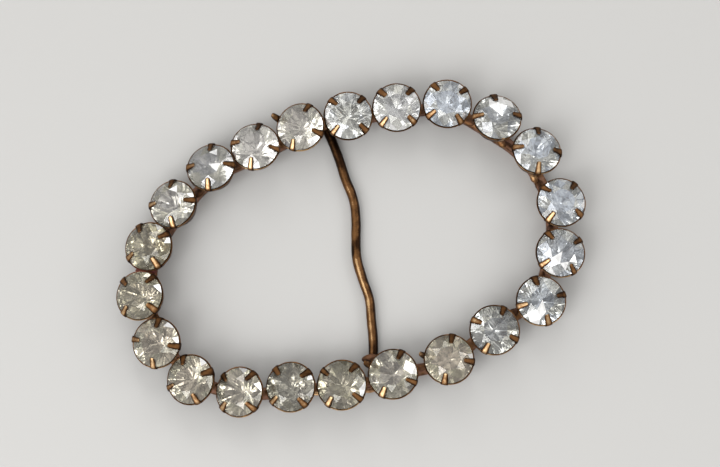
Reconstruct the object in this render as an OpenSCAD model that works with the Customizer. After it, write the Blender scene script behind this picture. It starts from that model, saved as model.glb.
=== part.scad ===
// Oval rhinestone buckle: round cut glass stones in four-claw brass cups, soldered side by
// side on a flat-backed oval rail, with one bent wire across the middle as the ribbon bar.
// X runs along the length, Y along the bar and Z up through the stones. The buckle lies on
// its back, and the origin is on that surface, under the middle of the outline.

/* [Stones] */
// Diameter of every glass stone
stone_d = 4.9; // [4.7:0.05:4.95]
// Height of the crown, from the girdle up to the table
crown_h = 0.9; // [0.7:0.05:1]
// Thickness of the girdle
girdle_h = 0.15; // [0.1:0.05:0.2]
// Depth of the pavilion, from the girdle down to the point
pavilion_h = 2.1; // [1.8:0.05:2.15]
// Width of the table as a share of the stone's diameter
table_share = 0.52; // [0.5:0.01:0.6]

/* [Cups] */
// Outer diameter of a cup at its rim
cup_d = 5.26; // [5.24:0.01:5.3]
// Thickness of the cup's sheet metal
cup_wall = 0.15; // [0.12:0.01:0.16]
// Diameter of the cup's flat foot
foot_d = 2.8; // [2.4:0.1:3]
// Height of the cup, from its foot to its rim
cup_h = 2.45; // [2.4:0.01:2.5]
// Clear height between the cup's floor and the point of the stone
point_gap = 0.12; // [0.1:0.01:0.2]

/* [Claws] */
// Width of a claw where it leaves the rim
claw_w = 0.6; // [0.5:0.05:0.7]
// Thickness of a claw
claw_t = 0.2; // [0.15:0.01:0.25]
// Distance from the stone's axis to the tip of a closed claw
claw_reach = 1.55; // [1.5:0.05:1.9]
// How far a claw that has sprung open leans outwards, in degrees
claw_spring = 16; // [5:1:20]

/* [Rail] */
// Width of the rail that carries the cups
rail_w = 1.25; // [1.1:0.05:1.4]
// Height of the rail
rail_h = 1; // [0.9:0.05:1.1]
// How deep the feet of the cups sit in the solder on the rail
seat_depth = 0.15; // [0.1:0.05:0.2]

/* [Ribbon bar] */
// Diameter of the bar's wire
bar_d = 1; // [0.9:0.05:1.1]

/* [Hidden] */
$fn = 48;

// One row for each setting, clockwise from the left of the top edge. x and y are where the
// middle of the stone's girdle stands. The setting leans over by lean degrees towards the
// direction toward, turn is the direction of its first claw, and aside is how far its foot
// stands outside the middle of the rail. open is the number of a claw that has sprung open,
// from 0 at turn and on by quarter turns, or none.
none = -1;
X = 0;
Y = 1;
LEAN = 2;
TOWARD = 3;
TURN = 4;
ASIDE = 5;
OPEN = 6;
SETTINGS = [
    //    x       y  lean toward turn aside open
    [-18.70,   4.30,  17,  165,    3,  0.0, none],
    [-14.80,   8.20,  13,  140,    0,  0.0, none],
    [-10.20,  10.40,   9,  120,   -9,  0.0, none],
    [ -5.50,  12.50,  12,  180,  -21,  0.0, 2],
    [ -0.50,  13.70,   5,  300,   49,  0.0, none],
    [  4.60,  14.60,   4,  270,   48,  0.0, none],
    [  9.90,  15.00,   4,  290,   36,  0.2, none],
    [ 15.10,  13.50,  12,   60,    5,  0.6, 3],
    [ 19.20,   9.90,  11,   50,   -4,  0.5, none],
    [ 21.60,   4.40,   6,   10,   53,  0.6, none],
    [ 21.40,  -0.90,   5,    0,   32,  0.7, none],
    [ 19.30,  -5.90,   3,  330,   16,  0.6, none],
    [ 14.50,  -8.90,   3,  300,  -24,  0.4, none],
    [  9.80, -11.90,   4,  180,   -9,  0.2, 2],
    [  4.10, -13.40,   8,  180,  -24,  0.2, 2],
    [ -1.10, -14.50,   8,  180,   53,  0.0, none],
    [ -6.30, -14.70,  11,  180,   40,  0.0, none],
    [-11.50, -15.20,  18,  185,   45,  0.0, none],
    [-16.50, -13.95,  17,  190,   20,  0.0, none],
    [-20.05, -10.20,  14,  200,   -8,  0.0, none],
    [-21.90,  -5.30,  15,  180,   49,  0.0, none],
    [-21.10,  -0.20,  14,  175,   28,  0.0, none],
];
COUNT = len(SETTINGS);

// The bar's route from the rail between two stones at the top to the rail at the bottom
BAR_ROUTE = [
    [-2.9,  13.1], [-2.3,  11.8], [-1.5,   9.7], [-0.8,   7.5], [ 0.0,   5.4],
    [ 0.3,   3.2], [ 0.3,   1.1], [ 0.4,  -1.0], [ 1.0,  -3.2], [ 1.7,  -5.3],
    [ 1.9,  -7.4], [ 2.1,  -9.6], [ 2.1, -11.7], [ 2.1, -13.8],
];

// Brings the middle of the outline over the origin
CENTRE = [-0.12, -0.07];

stone_r = stone_d / 2;
cup_r = cup_d / 2;
bore_r = cup_r - cup_wall;
foot_r = foot_d / 2;
point_z = cup_wall + point_gap;
girdle_low = point_z + pavilion_h;
girdle_high = girdle_low + girdle_h;
table_z = girdle_high + crown_h;
seat_z = rail_h - seat_depth;

// Stones are named stone_01 to stone_22, in the order of their settings
function stone_name(i) = str("stone_", i < 9 ? "0" : "", i + 1);

function heading(a) = [cos(a), sin(a)];
function middle(s) = [s[X], s[Y]] - CENTRE;

// Where the foot of a setting stands, straight below the girdle before it leaned over
function foot(s) = middle(s) - girdle_low * sin(s[LEAN]) * heading(s[TOWARD]);

// Outward direction of the oval at setting i, square to the line through its neighbours
function outward(i) =
    let (
        before = foot(SETTINGS[(i + COUNT - 1) % COUNT]),
        after = foot(SETTINGS[(i + 1) % COUNT]),
        along = (after - before) / norm(after - before)
    )
    [-along.y, along.x];

// A point of the rail's middle line for each setting
RAIL_POINTS = [for (i = [0 : COUNT - 1]) foot(SETTINGS[i]) - SETTINGS[i][ASIDE] * outward(i)];

// Smooth curve through points a, b, c and d, at share t of the way from b to c
function curve(a, b, c, d, t) =
    0.5 * (2 * b + (c - a) * t + (2 * a - 5 * b + 4 * c - d) * t * t
        + (3 * b - a - 3 * c + d) * t * t * t);

module place_setting(s) {
    at = foot(s);
    translate([at.x, at.y, seat_z])
        rotate([0, 0, s[TOWARD]])
            rotate([0, s[LEAN], 0])
                rotate([0, 0, s[TURN] - s[TOWARD]])
                    children();
}

// Brilliant cut about the stone's own axis. The crown has an octagonal table, eight stars,
// eight kites and sixteen girdle facets, and the pavilion has sixteen girdle facets and eight
// mains that meet at the point. Heights are such that every kite and main is flat.
module cut_stone() {
    // How far the stars reach from the table's edge to the girdle, as a share of the way
    star_share = 0.57;
    // Where the girdle facets of the pavilion end, as a share of the stone's radius
    main_share = 0.3;
    half_step = 22.5;
    table_r = stone_r * table_share;
    star_r = table_r + star_share * (stone_r - table_r);
    star_x = star_r * cos(half_step);
    star_z = table_z - crown_h * (star_x - table_r) / (stone_r - table_r);
    main_r = stone_r * main_share;
    main_z = point_z + pavilion_h * main_share * cos(half_step);
    table = [for (k = [0 : 7]) concat(table_r * heading(45 * k), table_z)];
    star = [for (k = [0 : 7]) concat(star_r * heading(45 * k + half_step), star_z)];
    upper = [for (k = [0 : 15]) concat(stone_r * heading(half_step * k), girdle_high)];
    lower = [for (k = [0 : 15]) concat(stone_r * heading(half_step * k), girdle_low)];
    mains = [for (k = [0 : 7]) concat(main_r * heading(45 * k + half_step), main_z)];
    // Where the star, upper, lower and mains points and the last point stand in the list
    S = 8;
    U = 16;
    L = 32;
    M = 48;
    P = 56;
    polyhedron(
        points = concat(table, star, upper, lower, mains, [[0, 0, point_z]]),
        faces = concat(
            [[7, 6, 5, 4, 3, 2, 1, 0]],
            [for (k = [0 : 7]) [k, (k + 1) % 8, S + k]],
            [for (k = [0 : 7]) [k, S + k, U + 2 * k, S + (k + 7) % 8]],
            [for (k = [0 : 7]) [S + k, U + 2 * k + 1, U + 2 * k]],
            [for (k = [0 : 7]) [S + k, U + (2 * k + 2) % 16, U + 2 * k + 1]],
            [for (k = [0 : 15]) [U + k, U + (k + 1) % 16, L + (k + 1) % 16, L + k]],
            [for (k = [0 : 7]) [L + 2 * k, L + 2 * k + 1, M + k]],
            [for (k = [0 : 7]) [L + 2 * k + 1, L + (2 * k + 2) % 16, M + k]],
            [for (k = [0 : 7]) [L + 2 * k, M + k, P, M + (k + 7) % 8]]
        )
    );
}

// Revolved bowl that holds a stone: a flat foot, a round flare and a straight rim
module cup() {
    // From foot to rim, as shares of the flare and of the height
    bowl = [[0, 0], [0.57, 0.18], [0.89, 0.41], [1, 0.61], [1, 1]];
    inner_foot_r = foot_r - cup_wall / 3;
    outside = [for (p = bowl) [foot_r + p.x * (cup_r - foot_r), p.y * cup_h]];
    inside = [for (p = bowl) [
        inner_foot_r + p.x * (bore_r - inner_foot_r),
        cup_wall + p.y * (cup_h - cup_wall)
    ]];
    back = [for (k = [len(inside) - 1 : -1 : 0]) inside[k]];
    rotate_extrude()
        polygon(concat([[0, 0]], outside, back, [[0, cup_wall]]));
}

// Tab that rises from the rim of the cup. A closed one is bent over the crown of the stone,
// and a sprung one stands up and leans outwards.
module claw(sprung) {
    // Gap between a closed claw and the stone
    clear = 0.07;
    // Height of the claw's root as a share of the cup's, and how far the root goes into the
    // cup's wall and stands out of it
    root_share = 0.55;
    sunk = 0.07;
    proud = 0.06;
    root_z = root_share * cup_h;
    root_in = cup_r - sunk;
    root_out = cup_r + proud;
    slope = crown_h / (stone_r * (1 - table_share));
    tip_z = girdle_high + slope * (stone_r - claw_reach) + clear;
    bend_z = girdle_high + clear;
    top = claw_t * sqrt(1 + slope * slope);
    lean = [sin(claw_spring), cos(claw_spring)];
    length = norm([cup_r - claw_reach, tip_z - bend_z]) + girdle_h + clear;
    standing = [root_in, cup_h] + length * lean;
    closed_outline = [
        [root_in, root_z], [root_in, girdle_high], [stone_r + clear, bend_z],
        [claw_reach, tip_z], [claw_reach, tip_z + top],
        [stone_r, bend_z + top], [root_out, bend_z], [root_out, root_z]
    ];
    sprung_outline = [
        [root_in, root_z], [root_in, cup_h], standing,
        standing + claw_t * [lean.y, -lean.x], [root_out, cup_h], [root_out, root_z]
    ];
    width = 2 * asin(claw_w / 2 / root_out);
    rotate_extrude(angle = width, start = -width / 2)
        polygon(sprung ? sprung_outline : closed_outline);
}

// A cup with its four claws, of which the one numbered open has sprung
module setting(open) {
    union() {
        cup();
        for (k = [0 : 3])
            rotate([0, 0, 90 * k])
                claw(k == open);
    }
}

// Solid swept along stations of [middle, sideways direction], with a section of points
// [sideways, up]. A loop joins its last station to its first, and the rest get flat ends.
module sweep(stations, section, loop) {
    n = len(section);
    last = len(stations) - 1;
    sides = [
        for (j = [0 : loop ? last : last - 1], m = [0 : n - 1])
            let (k = (j + 1) % (last + 1), q = (m + 1) % n)
            [j * n + m, j * n + q, k * n + q, k * n + m]
    ];
    ends = loop ? [] : [
        [for (m = [n - 1 : -1 : 0]) m],
        [for (m = [0 : n - 1]) last * n + m]
    ];
    polyhedron(
        points = [for (s = stations, p = section) concat(s[0] + p.x * s[1], p.y)],
        faces = concat(sides, ends)
    );
}

// Stations at places on a line, each with the direction square to the line there
function stations(places, loop) =
    let (n = len(places))
    [for (j = [0 : n - 1])
        let (
            before = loop ? (j + n - 1) % n : max(j - 1, 0),
            after = loop ? (j + 1) % n : min(j + 1, n - 1),
            along = (places[after] - places[before]) / norm(places[after] - places[before])
        )
        [places[j], [-along.y, along.x]]];

// Closed strip under the feet of the cups, flat behind
module rail() {
    steps = 3;
    // From the inner edge of the flat back over the rounded face to the outer edge
    section = [for (p = [
        [-1, 0], [-1, 0.45], [-0.78, 0.82], [-0.3, 1], [0.3, 1], [0.78, 0.82], [1, 0.45], [1, 0]
    ]) [p.x * rail_w / 2, p.y * rail_h]];
    places = [
        for (i = [0 : COUNT - 1], t = [0 : steps - 1])
            curve(
                RAIL_POINTS[(i + COUNT - 1) % COUNT], RAIL_POINTS[i],
                RAIL_POINTS[(i + 1) % COUNT], RAIL_POINTS[(i + 2) % COUNT], t / steps
            )
    ];
    sweep(stations(places, true), section, true);
}

// Round wire that lies on the surface and runs on into the rail at both ends
module bar() {
    steps = 2;
    sides = 10;
    last = len(BAR_ROUTE) - 1;
    section = [for (k = [0 : sides - 1])
        bar_d / 2 * ([0, 1] + heading(-90 + 180 / sides - 360 / sides * k))];
    places = [
        for (i = [0 : last - 1], t = [0 : i == last - 1 ? steps : steps - 1])
            curve(
                BAR_ROUTE[max(i - 1, 0)], BAR_ROUTE[i],
                BAR_ROUTE[i + 1], BAR_ROUTE[min(i + 2, last)], t / steps
            ) - CENTRE
    ];
    sweep(stations(places, false), section, false);
}

module frame() {
    color("darkgoldenrod")
        union() {
            rail();
            bar();
            for (s = SETTINGS)
                place_setting(s)
                    setting(s[OPEN]);
        }
}

module stone(i) {
    color("gainsboro")
        place_setting(SETTINGS[i])
            cut_stone();
}

frame();
for (i = [0 : COUNT - 1])
    stone(i);
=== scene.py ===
"""Rhinestone buckle: cut glass stones in four-claw cups on an oval rail, with a wire bar.

Every length inside the modelling functions is in millimetres. A finished piece is brought to
metres and to its place in one step, so that its object stays at the origin.
"""

import math
from typing import NamedTuple

import bmesh
import bpy
import numpy as np
from mathutils import Matrix, Vector


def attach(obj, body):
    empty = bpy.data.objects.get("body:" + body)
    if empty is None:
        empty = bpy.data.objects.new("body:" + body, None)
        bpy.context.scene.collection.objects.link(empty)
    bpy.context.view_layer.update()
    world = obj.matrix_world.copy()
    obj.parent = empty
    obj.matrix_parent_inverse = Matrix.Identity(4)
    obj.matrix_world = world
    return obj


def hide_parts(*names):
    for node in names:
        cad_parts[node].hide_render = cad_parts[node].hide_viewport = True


bl_info = {
    "name": "Rhinestone buckle",
    "version": (1, 0, 0),
    "blender": (4, 5, 0),
    "location": "3D View > Sidebar > Buckle",
    "description": "Builds an aged oval buckle of foiled glass stones in claw cups",
    "category": "Add Mesh",
}

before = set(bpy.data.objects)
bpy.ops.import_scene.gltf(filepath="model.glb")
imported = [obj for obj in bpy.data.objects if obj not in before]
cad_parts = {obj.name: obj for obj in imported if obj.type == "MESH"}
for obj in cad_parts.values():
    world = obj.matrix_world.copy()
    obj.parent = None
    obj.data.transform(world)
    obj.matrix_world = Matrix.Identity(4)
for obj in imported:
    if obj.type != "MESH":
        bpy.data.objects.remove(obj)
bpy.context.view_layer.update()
STONE_NODES = sorted(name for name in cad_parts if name.startswith("stone_"))

MM = 0.001
BODY = "root"

# A length, in millimetres, within which two places count as one
NEAR = 0.0005

# Seeds of the chance that each step draws on
CUP_SEED = 7
SOLDER_SEED = 11
STONE_SEED = 100


class Setting(NamedTuple):
    """The look of one stone and its cup. Directions are in degrees from +X.

    turn is the direction of the first claw, and aside how far the foot stands outside the
    middle of the rail. lit lists the directions in which the outermost facets are painted white
    as reflections of lights, and near which the foil behind is painted with a glow. kites and
    stars list the same painted white facets for the two rows further in, and fan the same for
    the sectors of the table. haze, tint and spots say how milky the stone is, how brown, and
    how much foil it has lost. veil is how dull its table is, and cool how blue. deep is how dark
    its back looks, below 0 if bright.
    sprung is the number of the claw that stands open, or -1 for none.
    """

    turn: float
    aside: float
    lit: tuple
    haze: float
    tint: float
    spots: float
    veil: float
    cool: float
    kites: tuple = ()
    stars: tuple = ()
    fan: tuple = ()
    deep: float = 0.0
    sprung: int = -1


# In the order of the stones' names, clockwise from the left end of the top edge
SETTINGS = [
    # turn, aside, lit, haze, tint, spots, veil, cool
    Setting(3, 0.0, (25,), 0.3, 0.5, 0.2, 0.2, 0.4, stars=(70,), deep=0.2),
    Setting(0, 0.0, (342, 10), 0.4, 0.35, 0.25, 0.1, 0.6, stars=(55,), fan=(337,), deep=0.4),
    Setting(-9, 0.0, (154, 204, 268, 24, 339), 0.4, 0.15, 0.0, 0.25, 0.4, deep=-0.4),
    Setting(-21, 0.0, (160, 232, 326, 301, 10), 0.45, 0.35, 0.2, 0.15, 0.3, sprung=2),
    Setting(49, 0.0, (166, 188, 244), 0.2, 0.0, 0.0, 0.0, 0.8),
    Setting(48, 0.0, (211, 253, 274, 32), 0.4, 0.1, 0.0, 0.15, 0.6, deep=-0.4),
    Setting(36, 0.2, (193, 322, 290, 45), 0.35, 0.0, 0.0, 0.35, 1.0, deep=-0.4),
    Setting(5, 0.6, (90,), 0.3, 0.1, 0.15, 0.15, 0.8, kites=(70, 110), stars=(70, 110),
            fan=(72, 117), deep=0.3, sprung=3),
    Setting(-4, 0.5, (150, 210), 0.4, 0.05, 0.05, 0.35, 1.0),
    Setting(53, 0.6, (346,), 0.4, 0.0, 0.0, 0.35, 1.0),
    Setting(32, 0.7, (250,), 0.35, 0.1, 0.05, 0.15, 0.9, stars=(190, 235, 280, 325),
            fan=(235,), deep=0.1),
    Setting(16, 0.6, (250,), 0.15, 0.05, 0.15, 0.1, 1.0, kites=(250,), stars=(260,), fan=(260,)),
    Setting(-24, 0.4, (165,), 0.1, 0.2, 0.2, 0.08, 0.8, deep=0.2),
    Setting(-9, 0.2, (9,), 0.4, 0.85, 0.3, 0.25, 0.0, deep=0.1, sprung=2),
    Setting(-24, 0.2, (12,), 0.25, 0.7, 0.45, 0.1, 0.2, kites=(21,), deep=0.1, sprung=2),
    Setting(53, 0.0, (330, 5), 0.2, 0.85, 0.6, 0.05, 0.1, deep=0.3),
    Setting(40, 0.0, (26,), 0.15, 0.55, 0.75, 0.05, 0.3, deep=0.3),
    Setting(45, 0.0, (20, 2, 70), 0.25, 0.7, 0.35, 0.08, 0.1, deep=0.1),
    Setting(20, 0.0, (55,), 0.25, 0.65, 0.35, 0.15, 0.0, deep=0.2),
    Setting(-8, 0.0, (41, 13), 0.3, 0.65, 0.4, 0.1, 0.0, deep=0.1),
    Setting(49, 0.0, (9, 68), 0.2, 0.9, 0.7, 0.06, 0.0, deep=0.2),
    Setting(28, 0.0, (72, 9), 0.15, 1.0, 0.75, 0.06, 0.1, deep=0.3),
]

# The bar's route, from the rail at the top to the rail at the bottom, and the middle of the
# outline in the same numbers
BAR_ROUTE = [
    (-2.9, 13.1), (-2.3, 11.8), (-1.5, 9.7), (-0.8, 7.5), (0.0, 5.4), (0.3, 3.2), (0.3, 1.1),
    (0.4, -1.0), (1.0, -3.2), (1.7, -5.3), (1.9, -7.4), (2.1, -9.6), (2.1, -11.7), (2.1, -13.8),
]
CENTRE = (-0.12, -0.07)

# Least difference in height between two rings of a cut stone's corners
RING_GAP = 0.04


def rings_of(node):
    """A cut stone's point, its axis, and its rings of corners as [height, radius], from the
    point up, read from its solid. The axis is the direction whose spread is unlike the rest."""
    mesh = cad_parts[node].data
    corners = np.array([v.co for v in mesh.vertices]) / MM
    corners = np.unique(np.round(corners, 4), axis=0)
    centred = corners - corners.mean(0)
    spread, directions = np.linalg.eigh(centred.T @ centred)
    odd = 0 if spread[1] - spread[0] > spread[2] - spread[1] else 2
    axis = directions[:, odd] * math.copysign(1, directions[2, odd])
    heights = corners @ axis
    point = corners[heights.argmin()]
    radii = np.linalg.norm(np.cross(corners - point, axis), axis=1)
    order = heights.argsort()
    steps = np.flatnonzero(np.diff(heights[order]) > RING_GAP) + 1
    rings = [
        (heights[ring].mean() - heights.min(), radii[ring].mean())
        for ring in np.split(order, steps)
    ]
    return point, axis, rings


POINT, MAIN, GIRDLE_LOW, GIRDLE_HIGH, STAR, TABLE = rings_of(STONE_NODES[0])[2]
STONE_R = GIRDLE_LOW[1]


def length_setting(name, description, default, **limits):
    """A length that the user can change. Its default and limits are in millimetres."""
    return bpy.props.FloatProperty(
        name=name, description=description, default=default * MM, unit="LENGTH", precision=6,
        **{key: value * MM for key, value in limits.items()},
    )


def colour_setting(name, description, default):
    """A colour that the user can change."""
    return bpy.props.FloatVectorProperty(
        name=name, description=description, default=default, size=3, subtype="COLOR",
        min=0.0, max=1.0,
    )


def light_setting(name, description, default):
    """A strength of light that the user can change."""
    return bpy.props.FloatProperty(
        name=name, description=description, default=default, subtype="FACTOR",
        min=0.0, soft_max=2.0,
    )


class StoneSettings(bpy.types.PropertyGroup):
    """Sizes and finish of the cut stones."""

    edge_wear: length_setting(
        "Edge wear", "Width of the rubbed edge between two facets of the crown", 0.03,
        min=0.0, max=0.08,
    )
    foil_edge: length_setting(
        "Foil edge", "Width of the bright edge between two facets of the back", 0.06,
        min=0.0, max=0.1,
    )
    clear_colour: colour_setting(
        "Clear glass", "Colour of a stone that is not stained", (0.97, 0.968, 0.91),
    )
    stained_colour: colour_setting(
        "Stained glass", "Colour of the most stained stone", (0.95, 0.88, 0.62),
    )
    cool_veil: colour_setting(
        "Cool veil", "Colour of the bluish dullness on a scratched table", (0.64, 0.69, 0.77),
    )
    warm_veil: colour_setting(
        "Warm veil", "Colour of the brownish dullness on a stained table", (0.60, 0.53, 0.44),
    )
    foil_colour: colour_setting("Foil", "Colour of the foil where it is whole", (0.95, 0.95, 0.94))
    lost_colour: colour_setting("Lost foil", "Colour where the foil has gone", (0.06, 0.045, 0.03))


class CupSettings(bpy.types.PropertyGroup):
    """Sizes of the sheet metal cups and of their claws."""

    rim_d: length_setting("Rim", "Outer diameter of a cup at its rim", 5.26)
    foot_d: length_setting("Foot", "Diameter of a cup's flat foot", 2.8)
    height: length_setting("Height", "Height of a cup from its foot to its rim", 2.45)
    wall: length_setting("Sheet", "Thickness of a cup's sheet metal", 0.15)
    point_gap: length_setting("Point gap", "Clear height between a floor and its stone", 0.12)
    claw_reach: length_setting("Claw reach", "From the stone's axis to a closed claw's tip", 1.55)


class RailSettings(bpy.types.PropertyGroup):
    """Sizes of the rail and of the ribbon bar."""

    width: length_setting("Rail width", "Width of the rail that carries the cups", 1.25)
    height: length_setting("Rail height", "Height of the rail", 1.0)
    bar_d: length_setting("Bar wire", "Diameter of the ribbon bar's wire", 1.0)


class MetalSettings(bpy.types.PropertyGroup):
    """Colours of the aged brass."""

    # rubbed_and_highlit is also the colour of the painted highlights on the claws and rims
    rubbed_and_highlit: colour_setting("Rubbed brass", "Bright brass on the high spots", (0.50, 0.34, 0.185))
    toned: colour_setting(
        "Toned brass", "Brown brass between the high spots and the hollows", (0.165, 0.078, 0.030),
    )
    dark: colour_setting("Dark patina", "Patina in the hollows", (0.022, 0.010, 0.005))
    pale: colour_setting(
        "Pale brass", "Worn solder and the crest of the ribbon bar", (0.62, 0.40, 0.20),
    )
    film: colour_setting("Dull film", "Pinkish-brown film of age on the rail", (0.25, 0.125, 0.085))
    # A real red stain, made nearly black as painted shade in the gap between two cups
    stain_and_painted_shade: colour_setting("Red stain", "Red-brown stain between two cups", (0.12, 0.014, 0.007))


class StageSettings(bpy.types.PropertyGroup):
    """The floor, the lights and the camera."""

    floor_colour: colour_setting("Floor", "Colour of the plain floor", (0.40, 0.396, 0.388))
    brightness: light_setting("Brightness", "Strength of all the softboxes together", 1.0)
    dim: light_setting("Dim side", "Strength of the room's light on its dim side", 0.52)
    window: light_setting("Window side", "What the room's bright side adds to that", 0.4)
    lens: bpy.props.FloatProperty(
        name="Lens", description="Focal length of the camera", default=79.2, unit="CAMERA",
    )


def in_mm(length):
    """A length from a settings group, in millimetres."""
    return length / MM


class Wire:
    """A number that a node puts out. Python's operators on it add Math nodes."""

    def __init__(self, finish, socket):
        self.finish = finish
        self.socket = socket

    def maths(self, operation, *values):
        """Adds one Math node."""
        return self.finish.node("Math", {"operation": operation}, *values)["Value"]

    def __add__(self, other):
        return self.maths("ADD", self, other)

    def __radd__(self, other):
        return self.maths("ADD", other, self)

    def __sub__(self, other):
        return self.maths("SUBTRACT", self, other)

    def __rsub__(self, other):
        return self.maths("SUBTRACT", other, self)

    def __mul__(self, other):
        return self.maths("MULTIPLY", self, other)

    def __rmul__(self, other):
        return self.maths("MULTIPLY", other, self)

    def clamped(self):
        """The number, kept from 0 to 1."""
        return self.maths("MINIMUM", self.maths("MAXIMUM", self, 0.0), 1.0)

    def between(self, low, high):
        """0 below low, 1 above high and smooth in the middle."""
        ends = {"From Min": low, "From Max": high}
        steps = {"interpolation_type": "SMOOTHSTEP"}
        return self.finish.node("MapRange", steps, Value=self, **ends)["Result"]


class Finish:
    """A material, and the nodes that are added to it."""

    def __init__(self, name):
        self.material = bpy.data.materials.new(name)
        self.material.use_nodes = True
        self.tree = self.material.node_tree
        self.tree.nodes.clear()
        self.place = self.node("TexCoord", {})["Object"]

    def stored(self, name):
        """A number that the piece carries on its points or faces."""
        return self.node("Attribute", {"attribute_name": name})["Fac"]

    def node(self, kind, settings, *values, **named):
        """Adds a node, sets its settings, then fills or links its sockets. Returns its outputs."""
        made = self.tree.nodes.new("ShaderNode" + kind)
        for key, value in settings.items():
            setattr(made, key, value)
        targets = [s for s in made.inputs if s.enabled]
        pairs = list(zip(targets, values))
        for key, value in named.items():
            pairs.append((next(s for s in targets if s.name == key), value))
        for socket, value in pairs:
            if isinstance(value, Wire):
                self.tree.links.new(value.socket, socket)
            elif socket.type == "RGBA" and len(value) == 3:
                socket.default_value = (*value, 1.0)
            else:
                socket.default_value = value
        return {s.name: Wire(self, s) for s in made.outputs if s.enabled}

    def blend(self, share, low, high):
        """A colour between low and high."""
        return self.node("Mix", {"data_type": "RGBA"}, Factor=share, A=low, B=high)["Result"]

    def grain(self, size, detail=3.0, offset=(0.0, 0.0, 0.0), stretch=(1.0, 1.0, 1.0)):
        """Noise whose lumps are about size millimetres across."""
        at = self.node("Mapping", {}, Vector=self.place, Location=offset, Scale=stretch)["Vector"]
        return self.node("TexNoise", {}, Vector=at, Scale=1 / (size * MM), Detail=detail)["Fac"]

    def spot(self, centre, radius):
        """1 round a point in the metal, falling to 0 at a radius. Both are in millimetres."""
        metres, reach = [c * MM for c in centre], radius * MM
        away = self.node("VectorMath", {"operation": "DISTANCE"}, self.place, metres)["Value"]
        return 1 - away.between(0.4 * reach, reach)

    def close(self, **sockets):
        """Ends the material in a Principled shader with these sockets."""
        shader = self.node("BsdfPrincipled", {}, **sockets)["BSDF"]
        end = self.tree.nodes.new("ShaderNodeOutputMaterial")
        self.tree.links.new(shader.socket, end.inputs["Surface"])
        return self.material

    def relief(self, height, depth):
        """A normal from a height of 0 to 1 that stands for depth millimetres."""
        return self.node("Bump", {}, Height=height, Distance=depth * MM)["Normal"]


# The red-brown stain between two cups on the left, painted nearly black where it also stands for
# the shade in the gap
STAIN_PLACE = (-21.6, -2.4, 2.0)
STAIN_REACH = 1.9


def aged_brass(name, roughness, pits, bright="rubbed_and_highlit", dull=0.0):
    """Brass that is dark where the wear attribute is 0, brown at a half and bright at 1, so that it
    shows both real wear and painted highlights and shade.

    roughness is that of the rubbed metal, and pits the depth of its pits in millimetres. bright
    is the colour of its rubbed spots and painted highlights, and dull how much of it lies under
    a film of age.
    """
    # Values of the wear and painted light over which patina turns brown, and brown bright, and how
    # much rougher dull brass is
    brown_from, bright_from, dullness = (0.05, 0.6), (0.62, 0.95), 0.15
    metal = bpy.context.scene.buckle_metal
    finish = Finish(name)
    cloud = finish.grain(1.0, detail=4.0) - 0.5
    speck = finish.grain(0.15, offset=(0.3, 0.1, 0.2)) - 0.5
    film = finish.grain(0.8, offset=(0.1, 0.2, 0.0)).between(0.3, 0.6) * dull
    blot = finish.grain(0.9, detail=2.0).between(0.15, 0.4)
    stain_and_painted_shade = finish.spot(STAIN_PLACE, STAIN_REACH) * blot
    wear = finish.stored("wear") + cloud * 0.9 + speck * 0.5
    rubbed_and_highlit = wear.between(*bright_from)
    rough = roughness + dullness - rubbed_and_highlit * dullness + speck * 0.12 + film * dullness
    colour = finish.blend(wear.between(*brown_from), metal.dark, metal.toned)
    colour = finish.blend(rubbed_and_highlit, colour, getattr(metal, bright))
    colour = finish.blend(film, colour, metal.film)
    return finish.close(**{
        "Base Color": finish.blend(stain_and_painted_shade, colour, metal.stain_and_painted_shade),
        "Metallic": (1.0 - stain_and_painted_shade * 0.8) * (1.0 - film * 0.6),
        "Roughness": rough.clamped(),
        "Normal": finish.relief(speck * 0.6 + cloud * 0.4 + 0.5, pits),
    })


def clear_glass(index, setting):
    """Worn glass. The flash attribute is 0 where a facet is clear, a little on
    a dull table and on rubbed edges, and near 1 on a facet painted white as a reflection of a
    light."""
    crown_glass_ior, scratch_depth, painted_white = 1.52, 0.0003, (1.0, 1.0, 1.0)
    stone = bpy.context.scene.buckle_stones
    colour = Vector(stone.clear_colour).lerp(Vector(stone.stained_colour), setting.tint)
    veil = Vector(stone.warm_veil).lerp(Vector(stone.cool_veil), setting.cool)
    finish = Finish(f"glass_{index:02d}")
    shift = (index * 0.01, 0.0, 0.0)
    scratch = finish.grain(0.09, detail=5.0, offset=shift, stretch=(1.0, 0.4, 1.0))
    smear = finish.grain(0.5, offset=shift).between(0.35, 0.65)
    streak = finish.grain(0.25, detail=2.0, offset=shift, stretch=(1.0, 0.3, 1.0))
    flash = finish.stored("flash")
    # bright marks the facets painted white as reflections of lights, and painted_sheen makes them
    # shine like a mirror
    bright = flash.between(0.4, 0.6)
    dulled = flash * (1.0 - bright) * (0.3 + smear * 1.2)
    painted_sheen = bright * (0.55 + 0.45 * streak.between(0.35, 0.55))
    polish = 0.005 + 0.02 * setting.haze
    colour = finish.blend(flash.between(0.0, 0.1), colour, veil)
    return finish.close(**{
        "Base Color": finish.blend(bright, colour, painted_white),
        "Metallic": (dulled + painted_sheen).clamped(),
        "Roughness": polish + flash.between(0.02, 0.4) * 0.07 + bright * 0.25,
        "IOR": crown_glass_ior,
        "Transmission Weight": 0.97 - 0.25 * setting.haze,
        "Normal": finish.relief(scratch, scratch_depth),
    })


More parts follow.
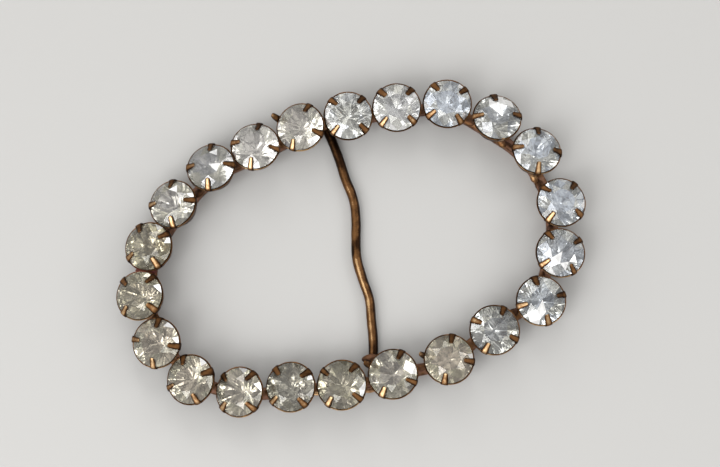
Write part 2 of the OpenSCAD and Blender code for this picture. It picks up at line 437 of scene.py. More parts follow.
def aged_foil(index, haze, spots):
    """Silver foil behind a stone, dull with age and lost in spots."""
    crease_depth, dullest = 0.0005, 0.1
    stone = bpy.context.scene.buckle_stones
    finish = Finish(f"foil_{index:02d}")
    shift = (0.013 * index, 0.007 * index, 0.0)
    cloud = finish.grain(0.9, detail=4.0, offset=shift)
    crease = finish.grain(0.28, offset=shift)
    lost = cloud.between(0.78 - 0.38 * spots, 0.86 - 0.30 * spots)
    # The tone attribute includes a painted glow behind facets that face a lit direction
    tone = finish.stored("tone") - crease.between(0.3, 0.7) * (0.08 + 0.3 * haze)
    dulled = [c * dullest for c in stone.foil_colour]
    colour = finish.blend(tone, dulled, stone.foil_colour)
    return finish.close(**{
        "Base Color": finish.blend(lost, colour, stone.lost_colour),
        "Metallic": 1.0,
        "Roughness": (0.03 + 0.10 * haze + lost * 0.3).clamped(),
        "Normal": finish.relief(crease, crease_depth),
    })


def deselect():
    """Nothing is selected, so that the next operator acts on its own piece alone."""
    bpy.ops.object.select_all(action="DESELECT")


def pick(piece):
    """Only this piece is selected, and it is the active one."""
    deselect()
    piece.select_set(True)
    bpy.context.view_layer.objects.active = piece


def editing(piece, what="VERT", action="DESELECT"):
    """Opens the piece for editing with nothing or all of it selected."""
    pick(piece)
    bpy.ops.object.mode_set(mode="EDIT")
    bpy.ops.mesh.select_mode(type=what)
    bpy.ops.mesh.select_all(action=action)


def done():
    """Closes the piece that is open for editing."""
    bpy.ops.object.mode_set(mode="OBJECT")


def choose(piece, kind, low, high, among_selected=False):
    """Selects the edges or faces whose middle is between two heights, in edit mode."""
    mesh = bmesh.from_edit_mesh(piece.data)
    items = [item for item in getattr(mesh, kind) if item.select or not among_selected]
    for item in items:
        middle = sum(corner.co.z for corner in item.verts) / len(item.verts)
        item.select_set(low < middle < high)
    mesh.select_flush_mode()
    bmesh.update_edit_mesh(piece.data)


def apply_all(piece):
    """Applies every modifier, in order."""
    pick(piece)
    for modifier in list(piece.modifiers):
        bpy.ops.object.modifier_apply(modifier=modifier.name)


def add_modifier(piece, kind, **values):
    """Adds a modifier of that kind, with its settings."""
    made = piece.modifiers.new(kind.title(), kind)
    for key, value in values.items():
        setattr(made, key, value)


def new_item(name, data):
    """A new object in the scene, made of this mesh, curve, light or camera."""
    item = bpy.data.objects.new(name, data)
    bpy.context.scene.collection.objects.link(item)
    return item


def copy_of(piece, name):
    """A copy with a mesh of its own."""
    made = piece.copy()
    made.data = piece.data.copy()
    made.name = name
    made.data.name = name
    bpy.context.scene.collection.objects.link(made)
    return made


def smooth(piece, degrees):
    """Smooths the shading over edges that are flatter than an angle."""
    pick(piece)
    bpy.ops.object.shade_smooth_by_angle(angle=math.radians(degrees))


def join(pieces, name):
    """One piece made of all of them."""
    deselect()
    for piece in pieces:
        piece.select_set(True)
    bpy.context.view_layer.objects.active = pieces[0]
    bpy.ops.object.join()
    pieces[0].name = name
    pieces[0].data.name = name
    return pieces[0]


def discard(piece):
    """Removes a mesh, and with it the piece that shows it."""
    bpy.data.meshes.remove(piece.data)


def rest_in_place(piece, place=Matrix.Identity(4)):
    """Takes a piece from millimetres about its own origin to metres at its place."""
    piece.data.transform(Matrix.Scale(MM, 4) @ place @ piece.matrix_world)
    piece.matrix_world = Matrix.Identity(4)
    piece.data.update()


def hand_over(piece, node):
    """The piece rides with the buckle, and stands for the node."""
    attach(piece, BODY)
    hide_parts(node)


def finish_metal(piece, brass, degrees, place=Matrix.Identity(4)):
    """Gives a part of the frame its brass, smooths it below an angle and sets it in place."""
    piece.data.materials.clear()
    piece.data.materials.append(brass)
    smooth(piece, degrees)
    rest_in_place(piece, place)
    hand_over(piece, "frame")


def set_wear_and_painted_light(piece, rule):
    """Stores how rubbed each vertex is, and where painted highlights and painted shade fall on it,
    by a rule on arrays of x, y and z.
    """
    count = len(piece.data.vertices)
    places = np.empty(count * 3, np.float32)
    piece.data.vertices.foreach_get("co", places)
    x, y, z = places.reshape(-1, 3).T
    layer = piece.data.attributes.get("wear")
    layer = layer or piece.data.attributes.new("wear", "FLOAT", "POINT")
    layer.data.foreach_set("value", np.broadcast_to(rule(x, y, z), count).astype(np.float32))


def seat_height():
    """Height of a stone's point above the foot of its cup."""
    cup = bpy.context.scene.buckle_cups
    return in_mm(cup.wall) + in_mm(cup.point_gap)


def setting_place(index):
    """The matrix, in millimetres, from a setting's own axes to its place on the rail."""
    point, axis, _ = rings_of(STONE_NODES[index])
    foot = Vector(point) - Vector(axis) * seat_height()
    lean = math.acos(axis[2])
    toward = math.atan2(axis[1], axis[0])
    turn = math.radians(SETTINGS[index].turn)
    return (
        Matrix.Translation(foot)
        @ Matrix.Rotation(toward, 4, "Z")
        @ Matrix.Rotation(lean, 4, "Y")
        @ Matrix.Rotation(turn - toward, 4, "Z")
    )


def rail_middle():
    """The rail's middle line, one point for each setting, in millimetres."""
    feet = [setting_place(i).translation.to_2d() for i in range(len(SETTINGS))]
    middle = []
    for i, foot in enumerate(feet):
        along = (feet[(i + 1) % len(feet)] - feet[i - 1]).normalized()
        outward = Vector((-along.y, along.x))
        middle.append(foot - SETTINGS[i].aside * outward)
    return middle


# The step between two mains of the cut, in degrees
STEP = 45
HALF_STEP = STEP / 2

# The kinds of face that a cut stone has, from its rubbed edges inwards and down
EDGE, TOP, STAR_CUT, KITE, BREAK, BACK = range(6)

# How far from level each kind is at most, in degrees, the girdle counting as an edge, and the
# area in square millimetres below which any face is a rubbed edge
TILTS = ((5, TOP), (33, STAR_CUT), (41, KITE), (80, BREAK), (100, EDGE), (181, BACK))
EDGE_AREA = 0.06

# How near a lit direction must be to the middle of a facet of each kind, in degrees, for the facet
# to be painted white
REACH = {BREAK: 11.3, KITE: 22.6, STAR_CUT: 22.6, TOP: 22.6}

# Tones that chance gives to the facets of the back, and the painted glow that those near a lit
# direction add
BACK_TONES = (0.2, 0.5, 0.9, 1.0)
BACK_PAINTED_GLOW = 0.8
BACK_FOCUS = 10

# Faces whose normal has a lower Z than this are foiled
FOILED_BELOW = -0.05

# Flash of a facet painted white as a reflection, and flash and tone of the rubbed edges
PAINTED_SHINE = 0.9
EDGE_FLASH = 0.22
EDGE_TONE = 0.95


def ring_corner(ring, degrees):
    """The corner of a ring of facets in that direction, as a vector."""
    height, radius = ring
    angle = math.radians(degrees)
    return Vector((radius * math.cos(angle), radius * math.sin(angle), height))


def grind(a, b, c):
    """Grinds one facet: cuts away all that lies outside the plane through three corners."""
    outward = (b - a).cross(c - a).normalized()
    middle = Vector((0, 0, GIRDLE_LOW[0]))
    if outward.dot(a - middle) < 0:
        outward.negate()
    bpy.ops.mesh.select_all(action="SELECT")
    bpy.ops.mesh.bisect(
        plane_co=a, plane_no=outward, use_fill=True, clear_outer=True, threshold=1e-5,
    )


def facet_planes():
    """Three corners of each facet of the cut, crown first, then the pavilion."""
    for main in range(0, 360, STEP):
        middle = main + HALF_STEP
        yield ring_corner(TABLE, main), ring_corner(GIRDLE_HIGH, main), ring_corner(STAR, middle)
        yield ring_corner(TABLE, main), ring_corner(TABLE, main + STEP), ring_corner(STAR, middle)
        yield from break_planes(ring_corner(STAR, middle), GIRDLE_HIGH, main)
    for main in range(0, 360, STEP):
        middle = main + HALF_STEP
        yield ring_corner(GIRDLE_LOW, main), ring_corner(MAIN, middle), ring_corner(POINT, 0)
        yield from break_planes(ring_corner(MAIN, middle), GIRDLE_LOW, main)


def break_planes(inner, girdle, main):
    """The two facets between an inner corner and the girdle, from a main on."""
    for side in (0, HALF_STEP):
        start = main + side
        yield inner, ring_corner(girdle, start), ring_corner(girdle, start + HALF_STEP)


def name_facets(piece):
    """Stores which kind each face of the cut stone is, by its size and its tilt."""
    kinds = []
    for face in piece.data.polygons:
        tilt = math.degrees(face.normal.angle(Vector((0, 0, 1))))
        kind = next(kind for most, kind in TILTS if tilt < most)
        kinds.append(EDGE if face.area < EDGE_AREA else kind)
    piece.data.attributes.new("cut", "INT", "FACE").data.foreach_set("value", kinds)


def apart(one, other):
    """The angle between two directions, in degrees."""
    return abs((one - other + 180) % 360 - 180)


def facet_value(kind, toward, setting, luck):
    """The tone of a facet of the back, with a painted glow near a lit direction, or the flash of
    one of the crown, which faces toward. A crown facet that faces a lit direction is painted white.
    """
    painted_shine_ways = {BREAK: setting.lit, KITE: setting.kites, STAR_CUT: setting.stars, TOP: setting.fan}
    if kind == BACK:
        near = max(math.cos(math.radians(toward - way)) for way in setting.lit)
        tone = luck.choice(BACK_TONES) * (1 - setting.deep)
        # Foil near a lit direction gets a painted glow
        return tone + BACK_PAINTED_GLOW * max(near, 0.0) ** BACK_FOCUS
    if kind == EDGE:
        return EDGE_FLASH
    if any(apart(toward, way) < REACH[kind] for way in painted_shine_ways[kind]):
        return PAINTED_SHINE
    if kind == TOP:
        return setting.veil
    return luck.uniform(0.0, 0.06 + 0.15 * setting.haze)


def facet_tones(piece, setting, luck):
    """Stores the tone of the foil behind each face, with its painted glow, and the flash of the
    glass, with its painted white reflections, with one value for a facet or a sector of the
    table. The piece is still about its own axes, where the first claw points along X."""
    tones, flashes, known = [], [], {}
    for face, cut in zip(piece.data.polygons, piece.data.attributes["cut"].data):
        kind = cut.value
        facing = face.center if kind == TOP else face.normal
        key = (kind, tuple(round(v, 1) for v in facing))
        if key not in known:
            toward = math.degrees(math.atan2(facing.y, facing.x)) + setting.turn
            known[key] = facet_value(kind, toward, setting, luck)
        tones.append(EDGE_TONE if kind == EDGE else min(known[key], 1.0))
        flashes.append(known[key])
    for name, values in (("tone", tones), ("flash", flashes)):
        piece.data.attributes.new(name, "FLOAT", "FACE").data.foreach_set("value", values)


def cut_brilliant():
    """A round blank, ground facet by facet, with its edges rubbed by wear and its table parted
    into sectors."""
    blank_sides, merged, flat, sharp = 96, 0.002, math.radians(1), math.radians(5)
    stone = bpy.context.scene.buckle_stones
    depth = TABLE[0] - POINT[0]
    bpy.ops.mesh.primitive_cylinder_add(
        vertices=blank_sides, radius=STONE_R, depth=depth, location=(0, 0, depth / 2),
    )
    piece = bpy.context.object
    bpy.ops.object.transform_apply(location=True)
    editing(piece)
    for corners in facet_planes():
        grind(*corners)
    bpy.ops.mesh.select_all(action="SELECT")
    bpy.ops.mesh.remove_doubles(threshold=merged)
    bpy.ops.mesh.dissolve_limited(angle_limit=flat)
    bpy.ops.mesh.normals_make_consistent()
    done()
    waist = (GIRDLE_LOW[0] + GIRDLE_HIGH[0]) / 2
    editing(piece, "EDGE")
    for low, high, width in (
        (POINT[0] - 1, waist, stone.foil_edge),
        (waist, TABLE[0] + 1, stone.edge_wear),
    ):
        bpy.ops.mesh.select_all(action="DESELECT")
        bpy.ops.mesh.edges_select_sharp(sharpness=sharp)
        choose(piece, "edges", low, high, among_selected=True)
        bpy.ops.mesh.bevel(offset=in_mm(width), clamp_overlap=True)
    done()
    editing(piece, "FACE")
    choose(piece, "faces", TABLE[0] - NEAR, TABLE[0] + NEAR)
    bpy.ops.mesh.poke()
    done()
    name_facets(piece)
    add_modifier(piece, "TRIANGULATE")
    apply_all(piece)
    return piece


class BUCKLE_OT_stones(bpy.types.Operator):
    """Cut one stone and set a copy of it in every cup, each with its own wear"""

    bl_idname = "buckle.stones"
    bl_label = "Stones"

    def execute(self, context):
        lift = Matrix.Translation((0, 0, seat_height()))
        pattern = cut_brilliant()
        for index, node in enumerate(STONE_NODES):
            setting = SETTINGS[index]
            piece = copy_of(pattern, f"cut_stone_{index + 1:02d}")
            piece.data.materials.append(clear_glass(index + 1, setting))
            piece.data.materials.append(aged_foil(index + 1, setting.haze, setting.spots))
            for face in piece.data.polygons:
                face.material_index = int(face.normal.z < FOILED_BELOW)
            facet_tones(piece, setting, np.random.default_rng(STONE_SEED + index))
            rest_in_place(piece, setting_place(index) @ lift)
            hand_over(piece, node)
        discard(pattern)
        return {"FINISHED"}


# Painted light: the claws and the rims that face these ways, in degrees, are painted brightest, as
# if lit from there
CLAWS_LIT_FROM = 238
RIMS_LIT_FROM = 268

# The wall of a cup from its foot to its turned-in rim, as shares of the flare and of the height
CUP_WALL = (
    (0, 0), (0.18, 0.05), (0.31, 0.13), (0.43, 0.24), (0.54, 0.38), (0.65, 0.52), (0.76, 0.66),
    (0.87, 0.80), (0.945, 0.90), (0.975, 0.945), (0.975, 0.967), (0.955, 0.98),
)


class Station(NamedTuple):
    """A place along a claw: its radius about the cup's axis, height, width and thickness."""

    radius: float
    height: float
    width: float
    thick: float


def raise_wall(rings):
    """Extrudes the selected edges through rings of (radius, height)."""
    for (radius, height), (wider, higher) in zip(rings, rings[1:]):
        rise = (0, 0, higher - height)
        bpy.ops.mesh.extrude_edges_move(TRANSFORM_OT_translate={"value": rise})
        grow = wider / radius
        bpy.ops.transform.resize(value=(grow, grow, 1), center_override=(0, 0, higher))


def raise_cup():
    """A cup of sheet metal: a flat foot, a conical wall and a rim turned in a little."""
    sheet_share, floor_ring, merged = 0.8, 0.25, 0.001
    cup = bpy.context.scene.buckle_cups
    foot_r, rim_r = in_mm(cup.foot_d) / 2, in_mm(cup.rim_d) / 2
    height, sheet = in_mm(cup.height), in_mm(cup.wall) * sheet_share
    rings = [(foot_r + out * (rim_r - foot_r), up * height) for out, up in CUP_WALL]
    bpy.ops.mesh.primitive_circle_add(vertices=64, radius=foot_r)
    piece = bpy.context.object
    editing(piece, "EDGE", "SELECT")
    raise_wall(rings)
    choose(piece, "edges", -NEAR, NEAR)
    bpy.ops.mesh.edge_face_add()
    bpy.ops.mesh.inset(thickness=floor_ring)
    bpy.ops.mesh.select_all(action="SELECT")
    bpy.ops.mesh.normals_make_consistent()
    done()
    add_modifier(piece, "SOLIDIFY", thickness=sheet, use_even_offset=True)
    add_modifier(
        piece, "BEVEL", width=0.03, segments=3, limit_method="ANGLE",
        angle_limit=math.radians(50),
    )
    apply_all(piece)
    editing(piece, action="SELECT")
    bpy.ops.mesh.remove_doubles(threshold=merged)
    done()
    return piece


def rub_rim_and_paint_highlight(bowl, turn, much):
    """Rubs a cup's rim a little all round, and paints a highlight on it, by much, where it faces
    the way of the painted light.
    """

    def rule(x, y, z):
        toward = np.degrees(np.arctan2(y, x)) + turn
        facing = np.clip(np.cos(np.radians(toward - RIMS_LIT_FROM)) - 0.3, 0, 1)
        on_rim = np.interp(z, (2.27, 2.35), (0, 1))
        # The rim is rubbed a little all round, and much times facing paints a highlight on its lit
        # side
        return 0.18 + (0.24 + much * facing) * on_rim

    set_wear_and_painted_light(bowl, rule)


def bend_claw(stations):
    """A tab drawn out along its stations, with a soft end. Each new end is turned square to the
    way that the claw runs there."""
    slab = 0.02
    first = stations[0]
    bpy.ops.mesh.primitive_cube_add(size=1, location=(first.radius, 0, first.height))
    piece = bpy.context.object
    piece.scale = (first.thick, first.width, slab)
    bpy.ops.object.transform_apply(location=True, scale=True)
    editing(piece, "FACE")
    choose(piece, "faces", first.height + slab / 4, first.height + slab)
    leaned = 0.0
    for here, there in zip(stations, stations[1:]):
        step = (there.radius - here.radius, 0, there.height - here.height)
        bpy.ops.mesh.extrude_region_move(TRANSFORM_OT_translate={"value": step})
        lean = math.atan2(step[0], step[2])
        centre = (there.radius, 0, there.height)
        bpy.ops.transform.rotate(value=leaned - lean, orient_axis="Y", center_override=centre)
        thinner, narrower = there.thick / here.thick, there.width / here.width
        bpy.ops.transform.resize(value=(thinner, narrower, thinner), center_override=centre)
        leaned = lean
    done()
    add_modifier(piece, "SUBSURF", levels=2, render_levels=2)
    apply_all(piece)
    return piece


def crown_height(radius):
    """Height of the crown's mains above the foot, at that radius."""
    slope = (TABLE[0] - GIRDLE_HIGH[0]) / (GIRDLE_HIGH[1] - TABLE[1])
    return GIRDLE_HIGH[0] + slope * (GIRDLE_HIGH[1] - radius)


# Stations of the claws, from where they leave the wall: distance outside the rim, height, width
# and thickness. A closed claw goes on over the crown, and a sprung one leans outwards.
CLAW_ROOT = ((-0.42, 1.35, 0.90, 0.10), (-0.25, 1.75, 0.90, 0.18))
CLOSED_RISE = ((-0.06, 2.20, 0.87, 0.19), (-0.01, 2.50, 0.84, 0.19))
SPRUNG_RISE = (
    (-0.06, 2.20, 0.87, 0.20), (0.06, 2.60, 0.84, 0.21), (0.20, 3.05, 0.76, 0.20),
    (0.31, 3.45, 0.62, 0.18), (0.37, 3.76, 0.42, 0.12),
)


def rising(rows):
    """Stations of the root of a claw and of these rows."""
    rim_r = in_mm(bpy.context.scene.buckle_cups.rim_d) / 2
    return [Station(rim_r + out, *rest) for out, *rest in CLAW_ROOT + rows]


def closed_claw():
    """A claw that rises outside the rim and is pressed down on the crown."""
    cup = bpy.context.scene.buckle_cups
    rim_r, tip_r = in_mm(cup.rim_d) / 2, in_mm(cup.claw_reach)
    # Radius, clear height over the crown, width and thickness
    over = [
        (rim_r - 0.13, 0.24, 0.78, 0.19),
        (rim_r - 0.42, 0.155, 0.70, 0.19),
        ((rim_r + tip_r) / 2 - 0.1, 0.14, 0.63, 0.17),
        (tip_r + 0.16, 0.13, 0.57, 0.15),
        (tip_r, 0.11, 0.46, 0.10),
    ]
    return bend_claw(rising(CLOSED_RISE) + [
        Station(radius, seat_height() + crown_height(radius) + clear, width, thick)
        for radius, clear, width, thick in over
    ])


def paint_claw_highlight(claw, toward):
    """Paints a highlight on the ridge of a claw that points toward, strongest where it faces the
    painted light, and leaves its sides dark as painted shade and its root dark.
    """
    # How much the claw points the way that the painted light comes from
    facing = 0.5 + 0.5 * math.cos(math.radians(toward - CLAWS_LIT_FROM))

    def rule(x, y, z):
        half_width = np.interp(x, (1.5, 2.6), (0.21, 0.38))
        lit_ridge = np.clip(1.2 - (y / (0.75 * half_width)) ** 2, 0, 1)
        above_rim = np.interp(z, (2.2, 2.8), (0, 1))
        # The bright ridge is a painted highlight, and the dark sides are painted shade
        return 0.06 + (0.2 + 0.68 * facing) * above_rim * lit_ridge

    set_wear_and_painted_light(claw, rule)


class BUCKLE_OT_cups(bpy.types.Operator):
    """Raise one cup, bend its claws, and solder a copy of it on the rail for every stone"""

    bl_idname = "buckle.cups"
    bl_label = "Cups and claws"

    def execute(self, context):
        # How much one claw differs from the next in direction, in degrees, and in width
        skewed, widened = 2.0, 0.07
        luck = np.random.default_rng(CUP_SEED)
        brass = aged_brass("cup_brass", roughness=0.37, pits=0.012)
        bowl, closed, sprung = raise_cup(), closed_claw(), bend_claw(rising(SPRUNG_RISE))
        for index, setting in enumerate(SETTINGS):
            parts = [copy_of(bowl, "bowl")]
            rub_rim_and_paint_highlight(parts[0], setting.turn, luck.uniform(0, 1))
            for number in range(4):
                claw = copy_of(sprung if number == setting.sprung else closed, "claw")
                paint_claw_highlight(claw, setting.turn + 90 * number)
                skew, wide = luck.normal(0, skewed), 1 + luck.normal(0, widened)
                claw.data.transform(
                    Matrix.Rotation(math.radians(90 * number + skew), 4, "Z")
                    @ Matrix.Diagonal((1, wide, 1, 1))
                )
                parts.append(claw)
            piece = join(parts, f"cup_{index + 1:02d}")
            finish_metal(piece, brass, 45, setting_place(index))
        for pattern in (bowl, closed, sprung):
            discard(pattern)
        return {"FINISHED"}


def bent_curve(points, closed, name):
    """A smooth curve through points in the plane, with automatic handles."""
    kinds = bpy.ops.curve
    add = kinds.primitive_bezier_circle_add if closed else kinds.primitive_bezier_curve_add
    add()
    curve = bpy.context.object
    curve.name = name
    spline = curve.data.splines[0]
    spline.bezier_points.add(len(points) - len(spline.bezier_points))
    for knot, (x, y) in zip(spline.bezier_points, points):
        knot.co = (x, y, 0)
        knot.handle_left_type = knot.handle_right_type = "AUTO"
    curve.data.dimensions = "2D"
    curve.data.fill_mode = "NONE"
    curve.data.resolution_u = 10
    return curve


def to_mesh(curve):
    """The closed mesh of a curve and its section."""
    pick(curve)
    bpy.ops.object.convert(target="MESH")
    piece = bpy.context.object
    editing(piece, action="SELECT")
    bpy.ops.mesh.remove_doubles(threshold=0.001)
    bpy.ops.mesh.normals_make_consistent()
    done()
    return piece


def dent(piece, size, depth):
    """Small unevenness of hand-worked metal, in lumps of a size and depth in millimetres."""
    lumps = bpy.data.textures.new("hand_work", "CLOUDS")
    lumps.noise_scale = size
    add_modifier(piece, "DISPLACE", texture=lumps, strength=depth, texture_coords="LOCAL")
    apply_all(piece)


# The rail's section, as shares of half its width and of its height
RAIL_SECTION = (
    (-1, 0.04), (-1, 0.5), (-0.93, 0.7), (-0.78, 0.86), (-0.5, 0.96), (0, 1), (0.5, 0.96),
    (0.78, 0.86), (0.93, 0.7), (1, 0.5), (1, 0.04), (0.96, 0), (-0.96, 0),
)


def rail_profile(half, height):
    """A closed curve of the rail's section, to be swept along its route."""
    outline = bpy.data.curves.new("rail_section", "CURVE")
    spline = outline.splines.new("POLY")
    spline.points.add(len(RAIL_SECTION) - 1)
    for knot, (side, up) in zip(spline.points, RAIL_SECTION):
        knot.co = (side * half, up * height, 0, 1)
    spline.use_cyclic_u = True
    return new_item("rail_section", outline)


class BUCKLE_OT_rail(bpy.types.Operator):
    """Bend the flat-backed rail into its oval"""

    bl_idname = "buckle.rail"
    bl_label = "Rail"

    def execute(self, context):
        sizes = context.scene.buckle_rail
        # What is below the first height is the flat back, and the rest stays above the second
        back, lowest = 0.01, 0.02
        height = in_mm(sizes.height)
        curve = bent_curve(rail_middle(), True, "rail")
        profile = rail_profile(in_mm(sizes.width) / 2, height)
        curve.data.bevel_mode = "OBJECT"
        curve.data.bevel_object = profile
        piece = to_mesh(curve)
        bpy.data.curves.remove(profile.data)
        on_back = [v.co.z < back for v in piece.data.vertices]
        dent(piece, size=1.6, depth=0.06)
        for vertex, flat in zip(piece.data.vertices, on_back):
            vertex.co.z = 0.0 if flat else max(vertex.co.z, lowest)
        set_wear_and_painted_light(piece, lambda x, y, z: np.interp(z, (0, height), (0.15, 0.62)))
        finish_metal(piece, aged_brass("rail_brass", roughness=0.40, pits=0.02, dull=0.8), 40)
        return {"FINISHED"}


# Middle and reach along Y, in millimetres, of the brightest painted highlights on the bar's crest
BAR_HIGHLIGHTS = ((5.9, 1.4), (-3.9, 1.2))


def bar_wear_and_painted_light(y, side):
    """How rubbed the bar is at y and at side, from -1 at its left edge to 1 at its right, with its
    painted light. A painted highlight runs along its crest left of the middle, most of all in
    its lower half, painted shade darkens its right side, and its ends and a kink are dark."""
    crest_highlight = np.clip(1 - ((side + 0.3) / 0.34) ** 2, 0, 1)
    bright = np.interp(y, (-1.5, 0.5), (0.50, 0.14))
    for middle, reach in BAR_HIGHLIGHTS:
        bright += 0.22 * np.exp(-(((y - middle) / reach) ** 2))
    # Both ends are darker, and at the lower end this is painted shade beside the cups
    ends = np.interp(y, (-10.2, -9.0, 7.4, 8.9), (0.3, 0, 0, 0.3))
    kink = 0.4 * np.exp(-(((y - 0.45 - 0.7 * side) / 0.75) ** 2))
    painted_shade = np.interp(side, (0.3, 0.7), (0, 0.3))
    return 0.40 + bright * crest_highlight - painted_shade - ends - kink


class BUCKLE_OT_bar(bpy.types.Operator):
    """Bend the ribbon bar's wire across the middle"""

    bl_idname = "buckle.bar"
    bl_label = "Ribbon bar"

    def execute(self, context):
        radius = in_mm(context.scene.buckle_rail.bar_d) / 2
        route = [(x - CENTRE[0], y - CENTRE[1]) for x, y in BAR_ROUTE]
        curve = bent_curve(route, False, "ribbon_bar")
        curve.data.dimensions = "3D"
        curve.data.bevel_mode = "ROUND"
        curve.data.bevel_depth = radius
        curve.data.bevel_resolution = 8
        curve.data.use_fill_caps = True
        piece = to_mesh(curve)
        dent(piece, size=1.4, depth=0.05)
        piece.data.transform(Matrix.Translation((0, 0, radius)))
        for vertex in piece.data.vertices:
            vertex.co.z = max(vertex.co.z, 0.0)
        across, along = zip(*reversed(route))
        set_wear_and_painted_light(piece, lambda x, y, z: bar_wear_and_painted_light(y, (x - np.interp(y, along, across)) / radius))
        brass = aged_brass("bar_brass", roughness=0.26, pits=0.006, bright="pale")
        finish_metal(piece, brass, 40)
        return {"FINISHED"}


# Solder beyond the plain joints: place, half sizes, direction in radians, and wear. On the lumps at
# the right and at the bottom the high wear also paints their gold glints.
EXTRA_SOLDER = (
    ((1.85, -11.55, 1.45), (0.85, 0.45, 0.45), 0.15, 0.35),
    ((-21.35, -2.45, 1.85), (1.15, 0.36, 0.4), -0.05, 0.2),
    ((15.75, 11.45, 1.05), (0.75, 0.4, 0.4), -0.9, 0.7),
    ((19.15, 7.6, 1.1), (0.65, 0.4, 0.4), -1.1, 0.75),
    ((-3.7, -15.1, 0.95), (0.7, 0.2, 0.16), 0.0, 0.85),
    ((2.0, -14.75, 0.95), (0.7, 0.24, 0.16), 0.25, 0.8),
)

# Least and most of the half length, half width and half height of the solder between two cups,
# and of its wear
LUMP_SIZES = ((0.7, 1.0), (0.36, 0.5), (0.2, 0.4))
LUMP_WEAR = (0.2, 0.5)


def solder_ring(place, foot_r):
    """Solder drawn up round the foot of a cup that stands at a place."""
    thick, wear = 0.17, 0.25
    bpy.ops.mesh.primitive_torus_add(
        major_radius=foot_r - 0.02, minor_radius=thick, major_segments=32, minor_segments=10,
    )
    ring = bpy.context.object
    ring.data.transform(place @ Matrix.Translation((0, 0, 0.08)))
    set_wear_and_painted_light(ring, lambda x, y, z: wear)
    return ring


def solder_lump(place, sizes, angle, wear):
    """A lump of solder at a place, with the half sizes along, across and up."""
    bpy.ops.mesh.primitive_uv_sphere_add(segments=24, ring_count=12, radius=1)
    lump = bpy.context.object
    lump.data.transform(
        Matrix.Translation(place) @ Matrix.Rotation(angle, 4, "Z") @ Matrix.Diagonal((*sizes, 1))
    )
    set_wear_and_painted_light(lump, lambda x, y, z: wear)
    return lump


class BUCKLE_OT_solder(bpy.types.Operator):
    """Run solder round the foot of every cup and between neighbours"""

    bl_idname = "buckle.solder"
    bl_label = "Solder"

    def execute(self, context):
        luck = np.random.default_rng(SOLDER_SEED)
        foot_r = in_mm(context.scene.buckle_cups.foot_d) / 2
        level = in_mm(context.scene.buckle_rail.height) - 0.1
        middle = rail_middle()
        parts = []
        for index, here in enumerate(middle):
            parts.append(solder_ring(setting_place(index), foot_r))
            there = middle[(index + 1) % len(middle)]
            between = (here + there) / 2
            angle = math.atan2(there.y - here.y, there.x - here.x)
            sizes = [luck.uniform(*ends) for ends in LUMP_SIZES]
            place = (*between, level)
            parts.append(solder_lump(place, sizes, angle, luck.uniform(*LUMP_WEAR)))
        parts += [solder_lump(*lump) for lump in EXTRA_SOLDER]
        piece = join(parts, "solder")
        dent(piece, size=0.7, depth=0.14)
        brass = aged_brass("solder_brass", roughness=0.38, pits=0.02, bright="pale", dull=0.3)
        finish_metal(piece, brass, 60)
        return {"FINISHED"}


# The camera looks at a point of the buckle, from a direction and a distance. Its sensor's width
# is given too, all in millimetres.
LOOK_AT = Vector((0.855, 1.455, 2.0))
LOOK_FROM = Vector((0.006, -0.189, 1.0))
CAMERA_AWAY = 165
SENSOR = 36

# The floor's size, and how far below the buckle's back it lies, in millimetres
FLOOR_SIZE = 1500
FLOOR_GAP = 0.02

# Where the room is brightest, as seen from the buckle
BRIGHT_WAY = (-0.3, 0.1, 0.9)

# Each softbox's name, its place and size in millimetres, and its power. The main one stands
# at the lower left, and the panels overhead wake the stones.
SOFTBOXES = (
    ("key_light", (-150, -170, 190), 190, 0.64),
    ("panel_1", (236, 110, 169), 120, 0.16),
    ("panel_2", (7, 200, 236), 80, 0.07),
    ("panel_3", (-245, 140, 126), 90, 0.08),
    ("panel_4", (-100, -60, 270), 70, 0.06),
    ("panel_5", (45, -145, 260), 90, 0.08),
    ("panel_6", (210, -90, 150), 90, 0.09),
    ("panel_7", (-60, 220, 150), 90, 0.07),
)


def aim(item, target):
    """Turns a camera or a light to face the target, with the buckle's +Y upright in its view."""
    back = (item.location - target).normalized()
    side = Vector((0, 1, 0)).cross(back).normalized()
    item.rotation_euler = Matrix((side, back.cross(side), back)).transposed().to_euler()


def softbox(name, place, size, power):
    """A square light at a place in millimetres that faces the buckle."""
    lamp = bpy.data.lights.new(name, "AREA")
    lamp.shape = "SQUARE"
    lamp.size = size * MM
    lamp.energy = power
    item = new_item(name, lamp)
    item.location = Vector(place) * MM
    item.visible_camera = False
    aim(item, Vector((0, 0, 0)))


def lit_room(dim, window):
    """An even room that grows brighter overhead and a little towards the left."""
    world = bpy.data.worlds.new("room")
    world.use_nodes = True
    tree = world.node_tree
    way = tree.nodes.new("ShaderNodeTexCoord")
    facing = tree.nodes.new("ShaderNodeVectorMath")
    facing.operation = "DOT_PRODUCT"
    facing.inputs[1].default_value = Vector(BRIGHT_WAY).normalized()
    share = tree.nodes.new("ShaderNodeMapRange")
    share.interpolation_type = "SMOOTHSTEP"
    ends = {"From Min": -0.5, "From Max": 0.9, "To Min": dim, "To Max": dim + window}
    for key, value in ends.items():
        share.inputs[key].default_value = value
    tree.links.new(way.outputs["Generated"], facing.inputs[0])
    tree.links.new(facing.outputs["Value"], share.inputs["Value"])
    tree.links.new(share.outputs["Result"], tree.nodes["Background"].inputs["Strength"])
    tree.nodes["Background"].inputs["Color"].default_value = (1.0, 0.99, 0.97, 1.0)
    return world


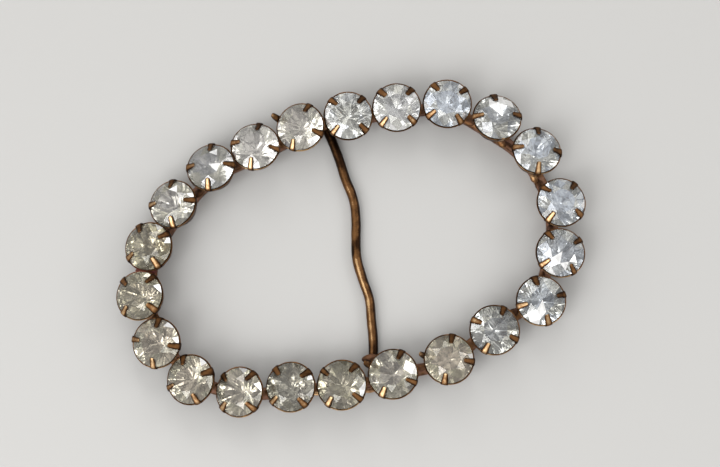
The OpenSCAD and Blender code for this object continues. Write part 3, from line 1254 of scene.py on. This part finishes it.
class BUCKLE_OT_stage(bpy.types.Operator):
    """Lay the plain floor and set up the lights and the camera"""

    bl_idname = "buckle.stage"
    bl_label = "Stage"

    def execute(self, context):
        sizes = context.scene.buckle_stage
        bpy.ops.mesh.primitive_plane_add(size=FLOOR_SIZE * MM, location=(0, 0, -FLOOR_GAP * MM))
        floor = bpy.context.object
        floor.name = "floor"
        plain = Finish("plain_floor")
        colour = (*sizes.floor_colour, 1.0)
        floor.data.materials.append(plain.close(**{"Base Color": colour, "Roughness": 0.9}))
        for name, place, size, power in SOFTBOXES:
            softbox(name, place, size, power * sizes.brightness)
        context.scene.world = lit_room(sizes.dim, sizes.window)
        lens = bpy.data.cameras.new("camera")
        lens.lens = sizes.lens
        lens.sensor_width = SENSOR
        lens.clip_start = 1 * MM
        camera = new_item("camera", lens)
        camera.location = (LOOK_AT + LOOK_FROM.normalized() * CAMERA_AWAY) * MM
        aim(camera, LOOK_AT * MM)
        context.scene.camera = camera
        context.scene.view_settings.view_transform = "Standard"
        return {"FINISHED"}


class BUCKLE_PT_panel(bpy.types.Panel):
    """Lists the steps that build the buckle"""

    bl_label = "Rhinestone buckle"
    bl_idname = "BUCKLE_PT_panel"
    bl_space_type = "VIEW_3D"
    bl_region_type = "UI"
    bl_category = "Buckle"

    def draw(self, context):
        for step in STEPS:
            self.layout.operator(step.bl_idname)


GROUPS = {
    "buckle_stones": StoneSettings,
    "buckle_cups": CupSettings,
    "buckle_rail": RailSettings,
    "buckle_metal": MetalSettings,
    "buckle_stage": StageSettings,
}
STEPS = (BUCKLE_OT_rail, BUCKLE_OT_bar, BUCKLE_OT_cups, BUCKLE_OT_solder, BUCKLE_OT_stones,
         BUCKLE_OT_stage)


def register():
    for kind in (*GROUPS.values(), *STEPS, BUCKLE_PT_panel):
        bpy.utils.register_class(kind)
    for name, group in GROUPS.items():
        setattr(bpy.types.Scene, name, bpy.props.PointerProperty(type=group))


def unregister():
    for name in GROUPS:
        delattr(bpy.types.Scene, name)
    for kind in reversed((*GROUPS.values(), *STEPS, BUCKLE_PT_panel)):
        bpy.utils.unregister_class(kind)


def main():
    register()
    deselect()
    bpy.ops.buckle.rail()
    bpy.ops.buckle.bar()
    bpy.ops.buckle.cups()
    bpy.ops.buckle.solder()
    bpy.ops.buckle.stones()
    bpy.ops.buckle.stage()
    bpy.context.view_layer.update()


if __name__ == "__main__":
    main()
